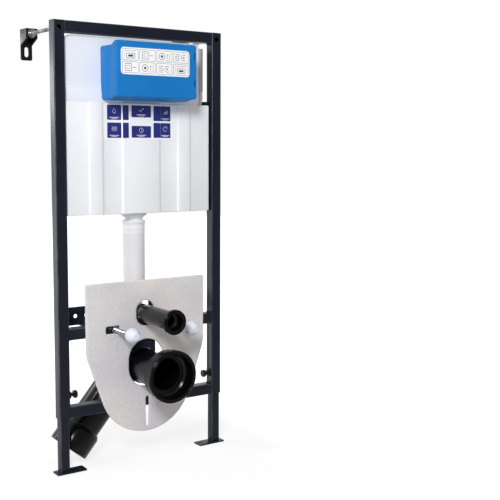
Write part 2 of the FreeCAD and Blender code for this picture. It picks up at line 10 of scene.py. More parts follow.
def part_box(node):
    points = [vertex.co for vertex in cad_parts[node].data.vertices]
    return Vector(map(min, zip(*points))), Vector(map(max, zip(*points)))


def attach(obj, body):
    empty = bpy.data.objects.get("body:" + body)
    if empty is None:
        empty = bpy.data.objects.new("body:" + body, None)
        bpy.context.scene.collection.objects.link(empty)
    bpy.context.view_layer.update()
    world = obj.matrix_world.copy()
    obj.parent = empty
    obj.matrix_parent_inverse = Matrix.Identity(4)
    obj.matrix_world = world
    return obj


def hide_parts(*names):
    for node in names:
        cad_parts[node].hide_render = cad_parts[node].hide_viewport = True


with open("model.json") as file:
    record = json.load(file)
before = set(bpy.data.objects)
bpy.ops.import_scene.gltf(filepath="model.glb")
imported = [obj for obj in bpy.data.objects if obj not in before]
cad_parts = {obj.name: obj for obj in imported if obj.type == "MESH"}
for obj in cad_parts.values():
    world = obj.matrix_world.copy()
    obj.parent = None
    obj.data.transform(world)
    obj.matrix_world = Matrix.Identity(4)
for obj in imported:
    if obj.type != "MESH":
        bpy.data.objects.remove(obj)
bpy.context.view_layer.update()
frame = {"nodes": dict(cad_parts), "record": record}
nodes = frame["nodes"]
scene = bpy.context.scene
scene.view_settings.view_transform = "Standard"
random.seed(7)

# Reference places, read from the frame
MM = 0.001
CENTRE_X = (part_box("left_post")[0].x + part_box("right_post")[1].x) / 2
FRONT_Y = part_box("left_post")[0].y
FLOOR_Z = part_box("left_foot_plate")[0].z
AHEAD = Vector((0, -1, 0))
BACK = Vector((0, 1, 0))
RIGHT = Vector((1, 0, 0))
UP = Vector((0, 0, 1))
SIDES = ("left_", "right_")

# Camera at the photograph's viewing angle: place and lens in mm, turns in degrees
CAMERA_PLACE = (-1232.4, -2231.7, 863.4)
CAMERA_YAW = 35.377
CAMERA_DOWN = 6.396
CAMERA_ROLL = 0.313
CAMERA_LENS = 67.94
SENSOR = 36

# Grain of the finishes: scales in cells a metre, depths in metres, spans of a texture's values
NOISE_SPAN = (0.3, 0.7)
GLOSS_SCATTER = 0.12
PEEL = {"patch": 9, "fine": 650, "depth": 0.00016}
STREAK_STRETCH = (60, 60, 14)
STREAK_SCALE = 6
STREAK_SPAN = (0.66, 0.78)
STREAK_SHARE = 0.2
# Lighter paint on rounded corners: partly edge wear, partly a painted highlight along the edges
EDGE_WEAR_AND_HIGHLIGHT_SCALE = 22
EDGE_WEAR_AND_HIGHLIGHT_SPAN = (0.4, 0.6)
EDGE_WEAR_AND_HIGHLIGHT_LEAST = 0.3
CORNER_SPAN = (0.9, 0.99)
CELL_SCALE = 330
CELL_SPAN = (0.0, 0.16)
CELL_SHADE = 0.1
CELL_DEPTH = 0.00012
FOAM_PATCH = 7
PAD_PATCH = 5
PAD_PATCH_SPAN = (0.38, 0.62)
SPECK_SCALE = 420
DARK_SHARE = 0.5
DARK_SPAN = (0.36, 0.47)
LIGHT_SHARE = 0.55
LIGHT_SPAN = (0.54, 0.66)
PAD_GRAIN = 520
PAD_DEPTH = 0.0004
CLOUD_SCALE = 60
CLOUD_GLOSS = (0.8, 1.3)
PLATE_GRAIN = 1500
PLATE_DEPTH = 0.00004
BRAID_STRANDS = 12.0
BRAID_CLIMB = 1400.0
BRAID_SPAN = (0.0, 0.8)
BRAID_DEPTH = 0.0003

# Rounded edges of the solids, in mm by node, and the angles in degrees that decide what is an edge
ROUND = {
    "cistern_jacket": 2.0, "cistern_tank": 2.2, "service_box": 0.8, "top_rail": 1.4, "bowl_rail": 1.4,
    "lower_rail": 1.4, "support_plate": 0.5, "tank_clip": 0.8, "waste_clamp": 0.6, "flush_connector": 0.6,
    "flush_elbow": 0.6, "flush_neck": 1.0, "flush_pipe": 0.3, "waste_connector": 0.9, "waste_elbow": 0.8,
    "outlet_pipe": 0.9, "inlet_fitting": 0.5,
}
ROUND_PAIRS = {"post": 1.4, "post_cap": 0.8, "leg": 1.2, "foot_plate": 0.7, "wall_bracket": 0.8}
ROUND_STEPS = 3
ROUND_OVER = 40
FLAT_UNDER = 0.5
SHARP_OVER = 32
MERGE = 0.00001

# Threaded rods, studs and bolts with their nuts, in mm, and shares of a pitch or of a nut's flats
ROD_R = 5
ROD_PITCH = 1.5
ROD_FLATS = 17
STUD_R = 6
STUD_PITCH = 1.75
STUD_FLATS = 19
NUT_T = 8
NUT_GAP = 0.2
NUT_CONE = 0.475
NUT_CUT = 30
NUT_RIM = 0.06
NUT_EASE = 0.03
WASHER_R = 11
WASHER_T = 2
WASHER_EDGE = 0.4
WASHER_EASE = 0.3
BOLT_R = 5
BOLT_PITCH = 1.5
BOLT_FLATS = 19
BOLT_HEAD_T = 9
BOLT_DIMPLE = 0.3
BOLT_SUNK = 1
BOLT_NUT_T = 6
BOLT_BITE = 0.4
THREAD_DEPTH = 0.6
THREAD_ROWS = (0.0, 0.5, 1.0, 0.5)
THREAD_MERGE = 1e-6

# Sound pad: remesh size in mm, smoothing, and the scale and height in mm of its uneven face
PAD_VOXEL = 2.2
PAD_SMOOTH = 0.5
PAD_PASSES = 4
PAD_WAVES = ((24, 0.35), (160, 0.12))

# Lip seals and the ribbed collar, in mm, and shares of the seal's thickness or of a rib's step
RING_STEPS = 96
LIP_REACH = 5
LIP_SHELF = 0.5
LIP_EDGE = 0.4
LIP_ROUND = 0.5
LIP_TIP = 0.8
LIP_STEP = 0.8
LIP_FACE = 0.6
LIP_RISES = (0.45, 0.52, 0.56, 0.64)
COLLAR_IN = 20.7
COLLAR_OUT = 24.4
COLLAR_RIB = 1.2
COLLAR_RIBS = 4
COLLAR_RISES = (0.2, 0.4, 0.7, 0.9)
COLLAR_CLEAR = 1
COLLAR_TRIM = 0.1

# Weld beads, in mm, and shares of their leg
BEAD_LEG = 2.6
BEAD_INSET = 2
BEAD_STEP = 0.6
BEAD_END = 0.35
BEAD_RUN_IN = 4
BEAD_RIPPLE = 0.14
BEAD_BEAT = 1.9
BEAD_UNEVEN = 0.05
BEAD_SIDES = 5
BEAD_CROWN = 0.18

# Label on the cover, in mm: left, right, low and high edge, with its panels and lines
LABEL = (-106, 96, 1037.5, 1105)
LABEL_R = 9
LABEL_COLUMNS = 4
LABEL_ROWS = 2
LABEL_GAP = 4
LABEL_PANEL_R = 3
SHEET_T = 0.25
INK_T = 0.06
FINE_LINE = 0.8
BOLD_LINE = 1.2
STEP_W = 17
STEP_H = 9
ARROW_LINE = 1.3
ARROW_LONG = 2.4
ARROW_WIDE = 1.7

# Stickers on the jacket, in mm: sheet edges, panel columns and the low and high edges of their rows
BAND_EDGE = 57
BAND_RISE = 4
BAND_FRONT = (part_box("cistern_jacket")[0].y - FRONT_Y) / MM
BAND_CUT = 0.2
SHEET_BOX = (-119.5, 105.6, 873.7, 967.2)
SHEET_R = 0.4
PANEL_COLUMNS = ((-100.6, -39.5), (-31, 27.5), (35.3, 90))
PANEL_ROWS = (((925, 964), (878, 918)), ((933, 964), (879, 910)), ((924, 964), (879, 919)))
PANEL_T = 0.08
PANEL_R = 1.6
# White gap across the navy panels at the left band's step: a painted highlight on the step's edge
GLINT_GAP_LEFT = -59.5
GLINT_GAP_W = 2.6
SIGN_UP = 4
SIGN_R = 6
SIGN_LINE = 0.9
SIGN_TICK = 1.3
SIGN_BAR = 1.6
DROP_H = 7
DROP_R = 4.34
DROP_LOW = 1.75
BAR_HALF = 14
BAR_MARGIN = 4
BARS = ((6.5, 1.0, 1.5), (3.6, 0.6, 1.2))

# Painted shade lines on the jacket, in mm, by the right edge of each raised band: dark strips standing in for
# the shadow at the step
SHADE_LINE_PLACES = (-113, BAND_EDGE, 153)
SHADE_LINE_INSET = 3.5
SHADE_LINE_W = 0.8
SHADE_LINE_T = 0.05
SHADE_LINE_ENDS = 2.5

# Stage: strengths of light, floor sizes in metres, and the depths between which a mirrored room brightens
WHITE = (1, 1, 1, 1)
WORLD_LIGHT = 0.43
ROOM_DIM = 0.3
ROOM_SPAN = (-0.4, 0.2)
FLOOR_TONE = (205, 205, 205)
FLOOR_R = 9.0
FLOOR_STEPS = 96
FLOOR_DROP = 0.0004
FLOOR_SPAN = (-0.5, 0.8)
FLOOR_FADE = (0.35, 1.1)
FLOOR_SHARE = 0.55
FLOOR_GLOW = 1.4

# Lamps: place and aim in mm, width and height in metres, watts
LAMPS = {
    "key": ((-1750, -2300, 2050), (0, 0, 600), (0.5, 0.7), 64),
    "side": ((-2300, -250, 2200), (0, 0, 400), (0.4, 0.4), 12),
    "rim": ((-1500, 1700, 1000), (-200, 0, 750), (0.5, 1.7), 10),
    "edge": ((-1090, 1932, 1260), (-250, 15, 1075), (0.5, 0.3), 4),
}


def site(x, y, z):
    """Point from mm to the right of the centre line, behind the front of the posts and above the floor."""
    return Vector((CENTRE_X + x * MM, FRONT_Y + y * MM, FLOOR_Z + z * MM))


def middle(node):
    low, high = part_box(node)
    return (low + high) / 2


def place_camera():
    camera = bpy.data.objects.new("camera", bpy.data.cameras.new("camera"))
    camera.data.lens = CAMERA_LENS
    camera.data.sensor_width = SENSOR
    turn = Matrix.Rotation(math.radians(-CAMERA_YAW), 4, "Z")
    tilt = Matrix.Rotation(math.radians(90 - CAMERA_DOWN), 4, "X")
    roll = Matrix.Rotation(math.radians(CAMERA_ROLL), 4, "Z")
    camera.matrix_world = Matrix.Translation(site(*CAMERA_PLACE)) @ turn @ tilt @ roll
    scene.collection.objects.link(camera)
    scene.camera = camera


place_camera()


# Helpers for materials
def tone(red, green, blue):
    """Linear colour from 0 to 255 screen values."""
    def linear(value):
        value = value / 255
        return value / 12.92 if value <= 0.04045 else ((value + 0.055) / 1.055) ** 2.4
    return (linear(red), linear(green), linear(blue), 1)


def add(tree, kind, inputs=None, **settings):
    """New shader node; inputs are values or sockets to link, by socket name or number."""
    made = tree.nodes.new("ShaderNode" + kind)
    for name, value in settings.items():
        setattr(made, name, value)
    for key, value in (inputs or {}).items():
        if isinstance(value, bpy.types.NodeSocket):
            tree.links.new(value, made.inputs[key])
        else:
            made.inputs[key].default_value = value
    return made


def start(name, **sockets):
    """Material with its Principled shader; sockets are set by name with _ for a space."""
    made = bpy.data.materials.new(name)
    made.use_nodes = True
    shader = made.node_tree.nodes["Principled BSDF"]
    for key, value in sockets.items():
        shader.inputs[key.replace("_", " ")].default_value = value
    return made, made.node_tree, shader


def places(tree):
    return add(tree, "TexCoord").outputs["Object"]


def grain(tree, scale, detail=3, rough=0.55, where=None):
    inputs = {"Scale": scale, "Detail": detail, "Roughness": rough}
    inputs["Vector"] = where or places(tree)
    return add(tree, "TexNoise", inputs).outputs["Fac"]


def ramp(tree, value, low, high, span=NOISE_SPAN):
    """Colour from low to high as the value goes through the span."""
    made = add(tree, "ValToRGB", {"Fac": value})
    for stop, place, colour in zip(made.color_ramp.elements, span, (low, high)):
        stop.position = place
        stop.color = colour
    return made.outputs["Color"]


def spread(tree, value, low, high, span=NOISE_SPAN):
    """Number from low to high as the value goes through the span."""
    inputs = {"Value": value, "From Min": span[0], "From Max": span[1], "To Min": low, "To Max": high}
    return add(tree, "MapRange", inputs).outputs["Result"]


def blend(tree, share, one, two):
    return add(tree, "Mix", {0: share, 6: one, 7: two}, data_type="RGBA").outputs[2]


def reckon(tree, operation, one, two=0.0):
    return add(tree, "Math", {0: one, 1: two}, operation=operation).outputs[0]


def larger(tree, one, two):
    return reckon(tree, "MAXIMUM", one, two)


def times(tree, one, two):
    return reckon(tree, "MULTIPLY", one, two)


def corner_share(tree):
    """1 on rounded corners, and 0 on faces square to the piece's own axes."""
    facing = add(tree, "NewGeometry").outputs["True Normal"]
    ways = {"vector_type": "NORMAL", "convert_from": "WORLD", "convert_to": "OBJECT"}
    own = add(tree, "VectorTransform", {"Vector": facing}, **ways).outputs["Vector"]
    plain = add(tree, "VectorMath", {0: own}, operation="ABSOLUTE").outputs["Vector"]
    part = add(tree, "SeparateXYZ", {"Vector": plain})
    most = larger(tree, larger(tree, part.outputs["X"], part.outputs["Y"]), part.outputs["Z"])
    return spread(tree, most, 1.0, 0.0, CORNER_SPAN)


def bump(tree, shader, height, depth):
    made = add(tree, "Bump", {"Height": height, "Distance": depth})
    tree.links.new(made.outputs["Normal"], shader.inputs["Normal"])


def surface(name, low, high, rough, shine=0.5, patch=18, fine=900, depth=0.00012, **sockets):
    """Paint or plastic: patchy colour from low to high, uneven gloss and a fine grain."""
    made, tree, shader = start(name, Specular_IOR_Level=shine, **sockets)
    broad = grain(tree, patch, detail=4)
    tree.links.new(ramp(tree, broad, low, high), shader.inputs["Base Color"])
    close = grain(tree, fine, detail=2)
    uneven = blend(tree, 0.5, broad, close)
    gloss = spread(tree, uneven, rough * (1 - GLOSS_SCATTER), rough * (1 + GLOSS_SCATTER))
    tree.links.new(gloss, shader.inputs["Roughness"])
    bump(tree, shader, close, depth)
    return made


def scuffed(name, low, high, worn_and_highlight, rough, shine, edge_wear_and_highlight=0.0):
    """Powder coat: orange-peel skin, with thin lighter rub marks here and there, and lighter paint along the
    rounded corners that is partly edge wear and partly a painted highlight.
    """
    made = surface(name, low, high, rough, shine, **PEEL)
    tree = made.node_tree
    shader = tree.nodes["Principled BSDF"]
    base = shader.inputs["Base Color"].links[0].from_socket
    stretch = add(tree, "Mapping", {"Vector": places(tree), "Scale": STREAK_STRETCH}).outputs["Vector"]
    streaks = grain(tree, STREAK_SCALE, detail=6, rough=0.7, where=stretch)
    share = spread(tree, streaks, 0, STREAK_SHARE, STREAK_SPAN)
    # Rounded corners made lighter: partly edge wear, partly a painted highlight along the edges
    if edge_wear_and_highlight:
        edge_rub_and_highlight = grain(tree, EDGE_WEAR_AND_HIGHLIGHT_SCALE, detail=4, rough=0.6)
        patches = spread(tree, edge_rub_and_highlight, EDGE_WEAR_AND_HIGHLIGHT_LEAST * edge_wear_and_highlight, edge_wear_and_highlight, EDGE_WEAR_AND_HIGHLIGHT_SPAN)
        share = larger(tree, share, times(tree, corner_share(tree), patches))
    tree.links.new(blend(tree, share, base, worn_and_highlight), shader.inputs["Base Color"])
    return made


def bead_foam(name, low, high, joint_tone):
    """Moulded bead foam: cells a few millimetres wide with slightly darker joints."""
    made, tree, shader = start(name, Roughness=0.62, Specular_IOR_Level=0.3)
    inputs = {"Vector": places(tree), "Scale": CELL_SCALE}
    cells = add(tree, "TexVoronoi", inputs, feature="DISTANCE_TO_EDGE")
    joint = spread(tree, cells.outputs["Distance"], 0, 1, CELL_SPAN)
    broad = ramp(tree, grain(tree, FOAM_PATCH), low, high)
    faint = spread(tree, joint, CELL_SHADE, 0.0, (0, 1))
    tree.links.new(blend(tree, faint, broad, joint_tone), shader.inputs["Base Color"])
    bump(tree, shader, joint, CELL_DEPTH)
    return made


def speckled_foam(name, warm, cool, dark, light):
    """Cut foam sheet: broad warm and cool patches under fine light and dark specks."""
    made, tree, shader = start(name, Roughness=0.85, Specular_IOR_Level=0.2)
    broad = ramp(tree, grain(tree, PAD_PATCH, detail=2), warm, cool, PAD_PATCH_SPAN)
    specks = grain(tree, SPECK_SCALE, detail=4, rough=0.7)
    dots = spread(tree, specks, DARK_SHARE, 0.0, DARK_SPAN)
    shines = spread(tree, specks, 0.0, LIGHT_SHARE, LIGHT_SPAN)
    mixed = blend(tree, dots, broad, dark)
    tree.links.new(blend(tree, shines, mixed, light), shader.inputs["Base Color"])
    bump(tree, shader, grain(tree, PAD_GRAIN, rough=0.65), PAD_DEPTH)
    return made


def plated(name, low, high, rough):
    """Bright plated steel with faint clouding and a fine grain."""
    made, tree, shader = start(name, Metallic=1.0)
    clouds = grain(tree, CLOUD_SCALE, detail=4)
    tree.links.new(ramp(tree, clouds, low, high), shader.inputs["Base Color"])
    gloss = spread(tree, clouds, rough * CLOUD_GLOSS[0], rough * CLOUD_GLOSS[1])
    tree.links.new(gloss, shader.inputs["Roughness"])
    bump(tree, shader, grain(tree, PLATE_GRAIN, detail=2), PLATE_DEPTH)
    return made


def braided(name, low, high, axis_at):
    """Hose sleeve: two sets of crossing strands wound round the upright axis through axis_at."""
    made, tree, shader = start(name, Roughness=0.42, Metallic=0.25)
    part = add(tree, "SeparateXYZ", {"Vector": places(tree)})
    aside = reckon(tree, "SUBTRACT", part.outputs["X"], axis_at.x)
    behind = reckon(tree, "SUBTRACT", part.outputs["Y"], axis_at.y)
    strands = times(tree, reckon(tree, "ARCTAN2", behind, aside), BRAID_STRANDS)
    climb = times(tree, part.outputs["Z"], BRAID_CLIMB)
    waves = [reckon(tree, "SINE", reckon(tree, way, strands, climb)) for way in ("ADD", "SUBTRACT")]
    weave = larger(tree, *waves)
    tree.links.new(ramp(tree, weave, low, high, BRAID_SPAN), shader.inputs["Base Color"])
    bump(tree, shader, weave, BRAID_DEPTH)
    return made


# Finishes of the record's material slots
finishes = {
    # The frame paint's lighter corners are partly edge wear and partly a painted highlight
    "frame_paint": scuffed(
        "frame_paint", tone(20, 24, 36), tone(27, 31, 44), tone(104, 108, 118), 0.29, 0.24, edge_wear_and_highlight=0.45),
    "bracket_paint": scuffed(
        "bracket_paint", tone(13, 14, 16), tone(21, 22, 25), tone(104, 106, 112), 0.24, 0.16),
    "zinc": plated("zinc", tone(160, 162, 166), tone(212, 214, 217), 0.24),
    "black_steel": surface("black_steel", tone(14, 14, 16), tone(26, 26, 29), 0.4, 0.3, patch=120),
    "black_plastic": surface("black_plastic", tone(18, 18, 20), tone(25, 25, 28), 0.5, 0.25),
    "tank_white": surface(
        "tank_white", tone(230, 233, 241), tone(237, 239, 246), 0.46, 0.25, patch=7, fine=260, depth=0.0001),
    "jacket_white": bead_foam(
        "jacket_white", tone(240, 241, 245), tone(248, 248, 251), tone(190, 194, 202)),
    "blue_plastic": surface(
        "blue_plastic", tone(25, 116, 188), tone(31, 124, 198), 0.4, 0.1, patch=10, fine=1100, depth=0.00006),
    "grey_plastic": braided(
        "grey_plastic", tone(128, 130, 131), tone(196, 198, 200), middle("water_hose")),
    "pipe_white": surface(
        "pipe_white", tone(228, 228, 231), tone(237, 237, 240), 0.34, 0.35, patch=12, fine=500,
        depth=0.00005),
    "pipe_black": surface(
        "pipe_black", tone(5, 5, 6), tone(9, 9, 11), 0.16, 0.25, patch=22, fine=300, depth=0.00005),
    "seal_rubber": surface(
        "seal_rubber", tone(6, 6, 7), tone(10, 10, 11), 0.16, 0.4, patch=90, fine=1300, depth=0.00004),
    "pad_foam": speckled_foam(
        "pad_foam", tone(233, 227, 223), tone(214, 212, 217), tone(176, 173, 178), tone(243, 240, 240)),
    "cap_white": surface(
        "cap_white", tone(214, 220, 232), tone(230, 234, 243), 0.38, patch=40, fine=300,
        Subsurface_Weight=0.15, Subsurface_Scale=0.003),
}

# Finishes of nodes that differ a little from the rest of their slot
connector_black = surface(
    "connector_black", tone(6, 6, 7), tone(10, 10, 12), 0.2, 0.22, patch=22, fine=300, depth=0.00005)
fitting_grey = surface("fitting_grey", tone(176, 178, 180), tone(200, 202, 204), 0.4, 0.3, patch=60, fine=700)
own_finish = {
    "flush_connector": connector_black, "waste_connector": connector_black, "inlet_fitting": fitting_grey}

# Finishes of the welds, the painted shade lines of the jacket and the labels' paper and print
weld_paint = scuffed("weld_paint", tone(20, 24, 36), tone(29, 33, 46), tone(72, 76, 86), 0.32, 0.18)
# Painted shade: dark grey for the strips that stand in for the shadow at the jacket's band steps
seam_grey = surface("seam_grey", tone(140, 142, 148), tone(160, 162, 168), 0.6, patch=40, depth=0.00003)
paper = surface(
    "label_paper", tone(246, 247, 251), tone(251, 252, 254), 0.38, patch=30, fine=700, depth=0.00003)
ink_navy = surface("ink_navy", tone(26, 38, 116), tone(31, 45, 128), 0.34, patch=60, depth=0.00003)
ink_white = surface("ink_white", tone(222, 226, 242), tone(238, 240, 250), 0.4, patch=60, depth=0.00002)
ink_grey = surface("ink_grey", tone(40, 41, 46), tone(62, 63, 69), 0.45, patch=60, depth=0.00002)
ink_red = surface("ink_red", tone(196, 60, 58), tone(212, 84, 80), 0.45, patch=60, depth=0.00002)


# Helpers for meshes
def piece(name, mesh, finish, body="frame", sharp=35):
    """Object made from a bmesh, smooth up to the sharp angle, that rides on a body."""
    bmesh.ops.recalc_face_normals(mesh, faces=mesh.faces)
    data = bpy.data.meshes.new(name)
    mesh.to_mesh(data)
    mesh.free()
    data.shade_smooth()
    data.set_sharp_from_angle(angle=math.radians(sharp))
    data.materials.append(finish)
    made = bpy.data.objects.new(name, data)
    scene.collection.objects.link(made)
    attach(made, body)
    return made


def across(axis):
    """Two unit vectors square to a level axis and to each other."""
    side = axis.cross(UP).normalized()
    return side, axis.cross(side)


def spokes(axis, steps):
    """Angles of one turn round the axis, with the unit vector that points out at each."""
    side, other = across(axis)
    for i in range(steps):
        turned = 2 * math.pi * i / steps
        yield turned, side * math.cos(turned) + other * math.sin(turned)


def skin(mesh, loops, closed=True):
    """Quads between neighbouring loops of vertices; closed joins the last loop to the first."""
    count = len(loops)
    for i in range(count if closed else count - 1):
        one, two = loops[i], loops[(i + 1) % count]
        for j in range(len(one)):
            k = (j + 1) % len(one)
            mesh.faces.new((one[j], one[k], two[k], two[j]))


def lathe(mesh, base, axis, profile, steps=64):
    """Closed ring: profile lists (radius, distance) in mm round the axis through base."""
    loops = []
    for radius, distance in profile:
        loop = []
        for _, out in spokes(axis, steps):
            loop.append(mesh.verts.new(base + out * radius * MM + axis * distance * MM))
        loops.append(loop)
    skin(mesh, loops)


def hex_ring(mesh, base, axis, flats, thick, hole, steps=72):
    """Hexagonal nut or bolt head: flats across, with both faces cut back by a cone at the corners."""
    cone_r = NUT_CONE * flats
    rim = hole + NUT_RIM * flats
    ease = NUT_EASE * flats
    loops = []
    for turned, out in spokes(axis, steps):
        corner = (turned % (math.pi / 3)) - math.pi / 6
        radius = 0.5 * flats / math.cos(corner)
        cut = (radius - cone_r) * math.tan(math.radians(NUT_CUT))
        profile = (
            (hole, ease), (rim, 0), (cone_r, 0), (radius, cut), (radius, thick - cut),
            (cone_r, thick), (rim, thick), (hole, thick - ease))
        loops.append([mesh.verts.new(base + out * r * MM + axis * d * MM) for r, d in profile])
    skin(mesh, loops)


def thread(mesh, base, axis, length, radius, pitch, steps=20):
    """Screw thread as a helical grid of a few rows a turn, with tapered and capped ends."""
    rows = len(THREAD_ROWS)
    depth = THREAD_DEPTH * pitch
    grid = []
    for k in range(-rows, rows * int(length / pitch + 1) + 1):
        height = radius - depth * THREAD_ROWS[k % rows]
        row = []
        for i, (_, out) in enumerate(spokes(axis, steps)):
            along = min(max((k / rows + i / steps) * pitch, 0), length)
            taper = radius - depth + min(along, length - along)
            row.append(mesh.verts.new(base + out * min(height, taper) * MM + axis * along * MM))
        grid.append(row)
    for k in range(len(grid) - rows - 1):
        for i in range(steps):
            near, far = grid[k][i], grid[k + 1][i]
            if i + 1 < steps:
                mesh.faces.new((near, grid[k][i + 1], grid[k + 1][i + 1], far))
            else:
                mesh.faces.new((near, grid[k + rows][0], grid[k + rows + 1][0], far))
    bmesh.ops.remove_doubles(mesh, verts=mesh.verts, dist=THREAD_MERGE)
    bmesh.ops.dissolve_degenerate(mesh, edges=mesh.edges, dist=THREAD_MERGE)
    loose = [edge for edge in mesh.edges if not edge.link_faces]
    bmesh.ops.delete(mesh, geom=loose, context="EDGES")
    lone = [vert for vert in mesh.verts if not vert.link_edges]
    bmesh.ops.delete(mesh, geom=lone, context="VERTS")
    bmesh.ops.holes_fill(mesh, edges=[edge for edge in mesh.edges if edge.is_boundary])


def slab(mesh, points, y, thick):
    """Closed flat plate: outline points (x, z) in mm, its back at depth y and its front thick ahead."""
    back = [mesh.verts.new(site(x, y, z)) for x, z in points]
    front = [mesh.verts.new(site(x, y - thick, z)) for x, z in points]
    skin(mesh, [back, front], closed=False)
    mesh.faces.new(front)
    mesh.faces.new(list(reversed(back)))


def ribbon(mesh, points, width, y, thick, closed=False):
    """Printed line along the points (x, z), joined at its corners."""
    count = len(points)
    left, right = [], []
    for i, (x, z) in enumerate(points):
        before = points[i - 1] if closed or i else points[0]
        after = points[(i + 1) % count] if closed or i + 1 < count else points[-1]
        way = Vector((after[0] - before[0], after[1] - before[1])).normalized()
        left.append((x - way.y * width / 2, z + way.x * width / 2))
        right.append((x + way.y * width / 2, z - way.x * width / 2))
    if closed:
        loops = []
        for edge, depth in ((left, y), (left, y - thick), (right, y - thick), (right, y)):
            loops.append([mesh.verts.new(site(x, depth, z)) for x, z in edge])
        skin(mesh, loops)
    else:
        slab(mesh, left + list(reversed(right)), y, thick)


def arc(x, z, radius, steps, start_at, sweep):
    """Points on a round stretch, both ends included; angles in degrees."""
    angles = [math.radians(start_at + sweep * i / steps) for i in range(steps + 1)]
    return [(x + radius * math.cos(angle), z + radius * math.sin(angle)) for angle in angles]


def circle(x, z, radius, steps=28):
    return arc(x, z, radius, steps, 0, 360)[:-1]


def round_rect(x0, x1, z0, z1, radius, steps=6):
    left, right, low, high = x0 + radius, x1 - radius, z0 + radius, z1 - radius
    points = []
    for x, z, start_at in ((right, low, -90), (right, high, 0), (left, high, 90), (left, low, 180)):
        points += arc(x, z, radius, steps, start_at, 90)
    return points


def pen(mesh, x, z, y):
    """Function that prints round (x, z): a line of the given width, or a filled outline without one."""
    def draw(points, width=None, closed=False):
        placed = [(x + across_mm, z + up_mm) for across_mm, up_mm in points]
        if width:
            ribbon(mesh, placed, width, y, INK_T, closed)
        else:
            slab(mesh, placed, y, INK_T)
    return draw


# Rounded edges and finishes on the solids
def edge_smoother():
    """Node group that shades smooth and keeps edges over the limit sharp."""
    group = bpy.data.node_groups.new("smooth_by_angle", "GeometryNodeTree")
    group.interface.new_socket("Geometry", in_out="INPUT", socket_type="NodeSocketGeometry")
    group.interface.new_socket("Geometry", in_out="OUTPUT", socket_type="NodeSocketGeometry")
    enter = group.nodes.new("NodeGroupInput")
    leave = group.nodes.new("NodeGroupOutput")
    faces = group.nodes.new("GeometryNodeSetShadeSmooth")
    edges = group.nodes.new("GeometryNodeSetShadeSmooth")
    edges.domain = "EDGE"
    edges.inputs["Shade Smooth"].default_value = False
    angle = group.nodes.new("GeometryNodeInputMeshEdgeAngle")
    over = group.nodes.new("FunctionNodeCompare")
    over.operation = "GREATER_THAN"
    over.inputs["B"].default_value = math.radians(SHARP_OVER)
    group.links.new(enter.outputs[0], faces.inputs["Geometry"])
    group.links.new(faces.outputs[0], edges.inputs["Geometry"])
    group.links.new(angle.outputs["Unsigned Angle"], over.inputs["A"])
    group.links.new(over.outputs[0], edges.inputs["Selection"])
    group.links.new(edges.outputs[0], leave.inputs[0])
    return group


smoother = edge_smoother()


def soften(solid, width):
    weld = solid.modifiers.new("weld", "WELD")
    weld.merge_threshold = MERGE
    flat = solid.modifiers.new("flat", "DECIMATE")
    flat.decimate_type = "DISSOLVE"
    flat.angle_limit = math.radians(FLAT_UNDER)
    soft = solid.modifiers.new("soft", "BEVEL")
    soft.width = width * MM
    soft.segments = ROUND_STEPS
    soft.limit_method = "ANGLE"
    soft.angle_limit = math.radians(ROUND_OVER)
    shade = solid.modifiers.new("shade", "NODES")
    shade.node_group = smoother


for name, width in ROUND.items():
    soften(nodes[name], width)
for side in SIDES:
    for name, width in ROUND_PAIRS.items():
        soften(nodes[side + name], width)

slot_of = {part["node"]: part["material_slot"] for part in frame["record"]["subparts"]}
for name, solid in nodes.items():
    solid.data.materials.clear()
    solid.data.materials.append(own_finish.get(name, finishes[slot_of[name]]))


# Threaded rods and studs, with their nuts and washers
def threaded(name, radius, pitch):
    low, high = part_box(name)
    centre = middle(name)
    mesh = bmesh.new()
    thread(mesh, Vector((centre.x, low.y, centre.z)), BACK, (high.y - low.y) / MM, radius, pitch)
    made = piece(name + "_thread", mesh, finishes["zinc"], sharp=80)
    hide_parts(name)


def nuts(name, flats, rod_r, starts, washer_at=None):
    """Nuts along a rod, each from its front face at the given Y, with a washer where one is given."""
    centre = middle(name)
    hole = rod_r + NUT_GAP
    mesh = bmesh.new()
    for y in starts:
        hex_ring(mesh, Vector((centre.x, y, centre.z)), BACK, flats, NUT_T, hole)
    if washer_at is not None:
        inner = hole + WASHER_EDGE
        outer = WASHER_R - WASHER_EDGE
        profile = (
            (hole, WASHER_EASE), (inner, 0), (outer, 0), (WASHER_R, WASHER_EDGE),
            (WASHER_R, WASHER_T - WASHER_EDGE), (outer, WASHER_T), (inner, WASHER_T),
            (hole, WASHER_T - WASHER_EASE))
        lathe(mesh, Vector((centre.x, washer_at, centre.z)), BACK, profile)
    made = piece(name + "_cut", mesh, finishes["zinc"])
    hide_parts(name)


for side in SIDES:
    threaded(side + "wall_rod", ROD_R, ROD_PITCH)
    threaded(side + "stud", STUD_R, STUD_PITCH)
    behind_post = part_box(side + "post")[1].y
    washer_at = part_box(side + "wall_bracket")[0].y - WASHER_T * MM
    low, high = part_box(side + "rod_nuts")
    rod_starts = (low.y, behind_post, washer_at - NUT_T * MM, high.y - NUT_T * MM)
    nuts(side + "rod_nuts", ROD_FLATS, ROD_R, rod_starts, washer_at)
    nuts(side + "stud_nuts", STUD_FLATS, STUD_R, (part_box(side + "stud_nuts")[0].y, behind_post))


